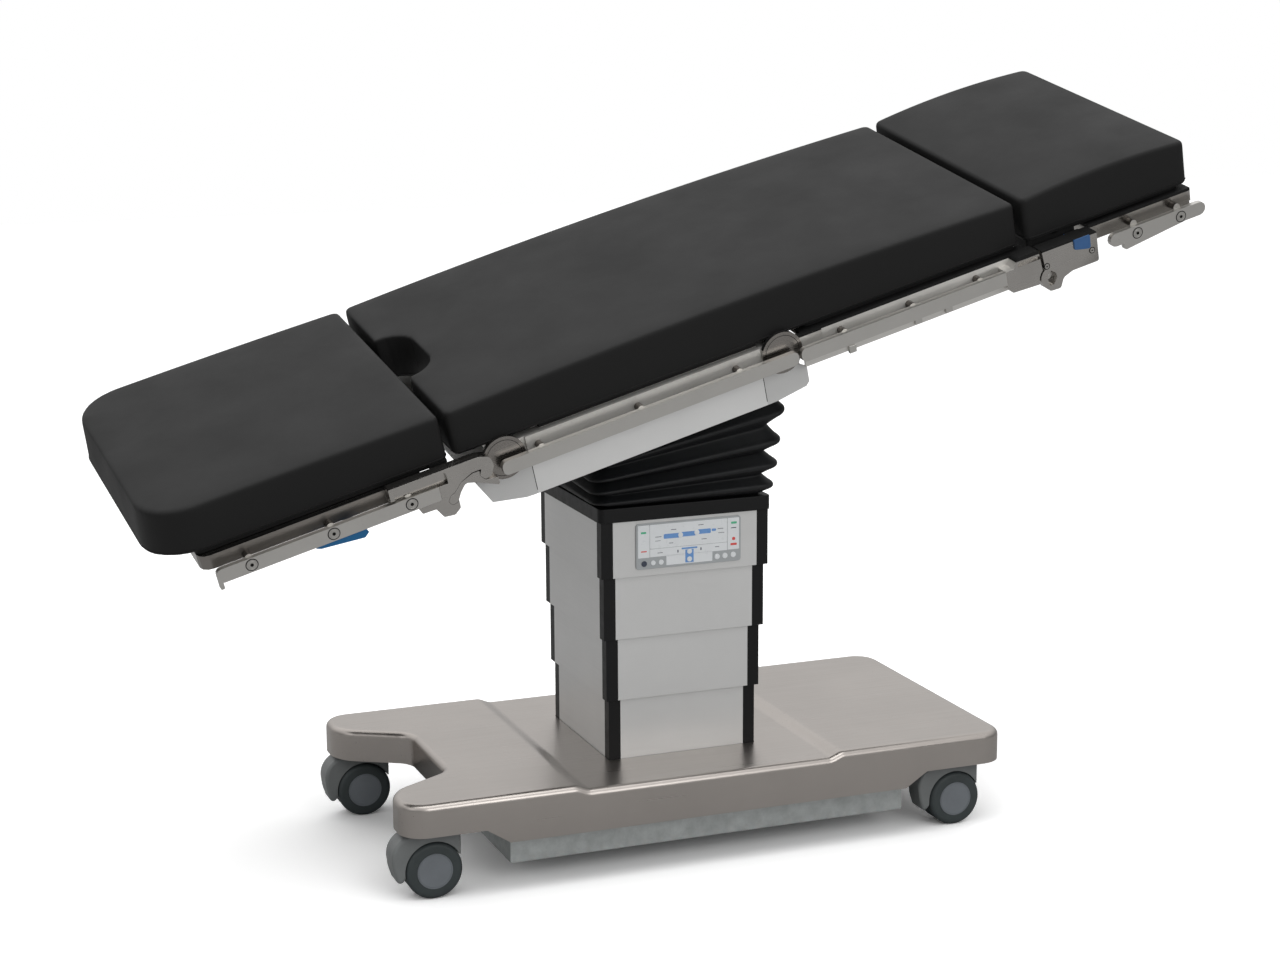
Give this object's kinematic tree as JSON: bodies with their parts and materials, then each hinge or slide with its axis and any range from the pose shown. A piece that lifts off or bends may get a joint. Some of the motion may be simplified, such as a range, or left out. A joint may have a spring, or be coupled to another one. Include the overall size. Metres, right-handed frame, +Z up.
{
  "type": "surgical table",
  "caption": "Mobile surgical table: castored steel base, telescopic square column, bellows and a tilting padded top in leg, seat, back and head sections.",
  "frame": {"origin": "on the floor, on the axis of the column", "axes": "+Z up; +X towards the head end of the table; -Y towards the side with the keypad"},
  "size_m": [1.9498, 0.6071, 1.3514],
  "materials": {
    "base_steel": "satin",
    "galvanised_steel": "matte",
    "panel_steel": "satin",
    "frame_steel": "satin",
    "ram_steel": "polished",
    "black_plastic": "matte",
    "bellows_rubber": "satin",
    "pad_leather": "satin",
    "board_laminate": "matte",
    "housing_plastic": "matte",
    "castor_plastic": "matte",
    "tyre_rubber": "matte",
    "lever_blue": "gloss",
    "latch_blue": "gloss",
    "keypad_film": "satin"
  },
  "bodies": {
    "base": {"base_cover": "base_steel", "base_chassis": "galvanised_steel", "power_unit": "black_plastic", "lift_cylinder": "ram_steel", "column_corners_1": "black_plastic", "column_panels_1": "panel_steel"},
    "stage_2": {"column_corners_2": "black_plastic", "column_panels_2": "panel_steel"},
    "stage_3": {"column_corners_3": "black_plastic", "column_panels_3": "panel_steel"},
    "column_head": {"column_corners_4": "black_plastic", "column_panels_4": "panel_steel", "top_collar": "black_plastic", "control_panel": "keypad_film", "lift_rod": "ram_steel", "head_bracket": "galvanised_steel", "bellows": "bellows_rubber"},
    "gimbal": {"gimbal_cross": "frame_steel"},
    "seat": {"seat_frame": "frame_steel", "housing_cover": "housing_plastic", "seat_rail_near": "frame_steel", "seat_rail_far": "frame_steel", "seat_pad": "pad_leather", "pad_bend": "pad_leather"},
    "back": {"back_frame": "frame_steel", "back_joint_shaft": "frame_steel", "back_board": "board_laminate", "back_rail_near": "frame_steel", "back_rail_far": "frame_steel", "back_pad": "pad_leather"},
    "head": {"head_frame": "frame_steel", "head_board": "board_laminate", "head_rail_near": "frame_steel", "head_rail_far": "frame_steel", "head_pad": "pad_leather"},
    "latch_near": {"latch_button_near": "latch_blue"},
    "latch_far": {"latch_button_far": "latch_blue"},
    "leg": {"leg_frame": "frame_steel", "leg_joint_shaft": "frame_steel", "leg_board": "board_laminate", "leg_rail_near": "frame_steel", "leg_rail_far": "frame_steel", "leg_pad": "pad_leather"},
    "lever": {"release_lever": "lever_blue"},
    "castor_foot_near": {"castor_hood_foot_near": "castor_plastic"},
    "wheel_foot_near": {"castor_hub_foot_near": "castor_plastic", "tyre_left_foot_near": "tyre_rubber", "tyre_right_foot_near": "tyre_rubber"},
    "castor_foot_far": {"castor_hood_foot_far": "castor_plastic"},
    "wheel_foot_far": {"castor_hub_foot_far": "castor_plastic", "tyre_left_foot_far": "tyre_rubber", "tyre_right_foot_far": "tyre_rubber"},
    "castor_head_near": {"castor_hood_head_near": "castor_plastic"},
    "wheel_head_near": {"castor_hub_head_near": "castor_plastic", "tyre_left_head_near": "tyre_rubber", "tyre_right_head_near": "tyre_rubber"},
    "castor_head_far": {"castor_hood_head_far": "castor_plastic"},
    "wheel_head_far": {"castor_hub_head_far": "castor_plastic", "tyre_left_head_far": "tyre_rubber", "tyre_right_head_far": "tyre_rubber"}
  },
  "joints": [
    {"name": "lift_stage_2", "type": "slide", "parent": "base", "child": "stage_2", "axis": [0, 0, 1], "range_m": [-0.089, 0]},
    {"name": "lift_stage_3", "type": "slide", "parent": "stage_2", "child": "stage_3", "axis": [0, 0, 1], "range_m": [-0.089, 0]},
    {"name": "lift_head", "type": "slide", "parent": "stage_3", "child": "column_head", "axis": [0, 0, 1], "range_m": [-0.089, 0]},
    {"name": "lengthwise_tilt", "type": "hinge", "parent": "column_head", "child": "gimbal", "pos_m": [0, 0, 0.8125], "axis": [0, 1, 0], "range_deg": [-14, 46], "deforming": ["bellows"]},
    {"name": "sideways_tilt", "type": "hinge", "parent": "gimbal", "child": "seat", "pos_m": [0, 0, 0.8125], "axis": [0.9609, 0, 0.277], "range_deg": [-32.6, 7.4]},
    {"name": "back_fold", "type": "hinge", "parent": "seat", "child": "back", "pos_m": [0.10758, -0.02642, 0.9664], "axis": [0.0605, -0.9759, -0.2098], "range_deg": [-40, 70], "deforming": ["pad_bend"]},
    {"name": "head_fold", "type": "hinge", "parent": "back", "child": "head", "pos_m": [0.62204, -0.01834, 1.07712], "axis": [0.0605, -0.9759, -0.2098], "range_deg": [-45, 3]},
    {"name": "leg_fold", "type": "hinge", "parent": "seat", "child": "leg", "pos_m": [-0.39303, -0.02642, 0.82209], "axis": [0.0605, -0.9759, -0.2098], "range_deg": [-5, 90]},
    {"name": "latch_press_near", "type": "slide", "parent": "head", "child": "latch_near", "axis": [-0.0605, 0.9759, 0.2098], "range_m": [0, 0.002], "stiffness_N_per_m": 800, "springref_m": -0.001},
    {"name": "latch_press_far", "type": "slide", "parent": "head", "child": "latch_far", "axis": [0.0605, -0.9759, -0.2098], "range_m": [0, 0.002], "stiffness_N_per_m": 800, "springref_m": -0.001},
    {"name": "lever_pull", "type": "hinge", "parent": "leg", "child": "lever", "pos_m": [-0.65295, -0.02292, 0.73092], "axis": [0.0605, -0.9759, -0.2098], "range_deg": [-8, 0], "stiffness_Nm_per_rad": 4, "springref_deg": 2.86},
    {"name": "castor_swivel_foot_near", "type": "hinge", "parent": "base", "child": "castor_foot_near", "pos_m": [-0.518, -0.229, 0], "axis": [0, 0, 1], "continuous": true},
    {"name": "wheel_roll_foot_near", "type": "hinge", "parent": "castor_foot_near", "child": "wheel_foot_near", "pos_m": [-0.5, -0.229, 0.05], "axis": [0, 1, 0], "continuous": true},
    {"name": "castor_swivel_foot_far", "type": "hinge", "parent": "base", "child": "castor_foot_far", "pos_m": [-0.518, 0.229, 0], "axis": [0, 0, 1], "continuous": true},
    {"name": "wheel_roll_foot_far", "type": "hinge", "parent": "castor_foot_far", "child": "wheel_foot_far", "pos_m": [-0.5, 0.229, 0.05], "axis": [0, 1, 0], "continuous": true},
    {"name": "castor_swivel_head_near", "type": "hinge", "parent": "base", "child": "castor_head_near", "pos_m": [0.48, -0.229, 0], "axis": [0, 0, 1], "continuous": true},
    {"name": "wheel_roll_head_near", "type": "hinge", "parent": "castor_head_near", "child": "wheel_head_near", "pos_m": [0.498, -0.229, 0.05], "axis": [0, 1, 0], "continuous": true},
    {"name": "castor_swivel_head_far", "type": "hinge", "parent": "base", "child": "castor_head_far", "pos_m": [0.48, 0.229, 0], "axis": [0, 0, 1], "continuous": true},
    {"name": "wheel_roll_head_far", "type": "hinge", "parent": "castor_head_far", "child": "wheel_head_far", "pos_m": [0.498, 0.229, 0.05], "axis": [0, 1, 0], "continuous": true}
  ],
  "couplings": [
    {"joint": "lift_stage_3", "follows": "lift_stage_2", "ratio": 1},
    {"joint": "lift_head", "follows": "lift_stage_2", "ratio": 1}
  ]
}
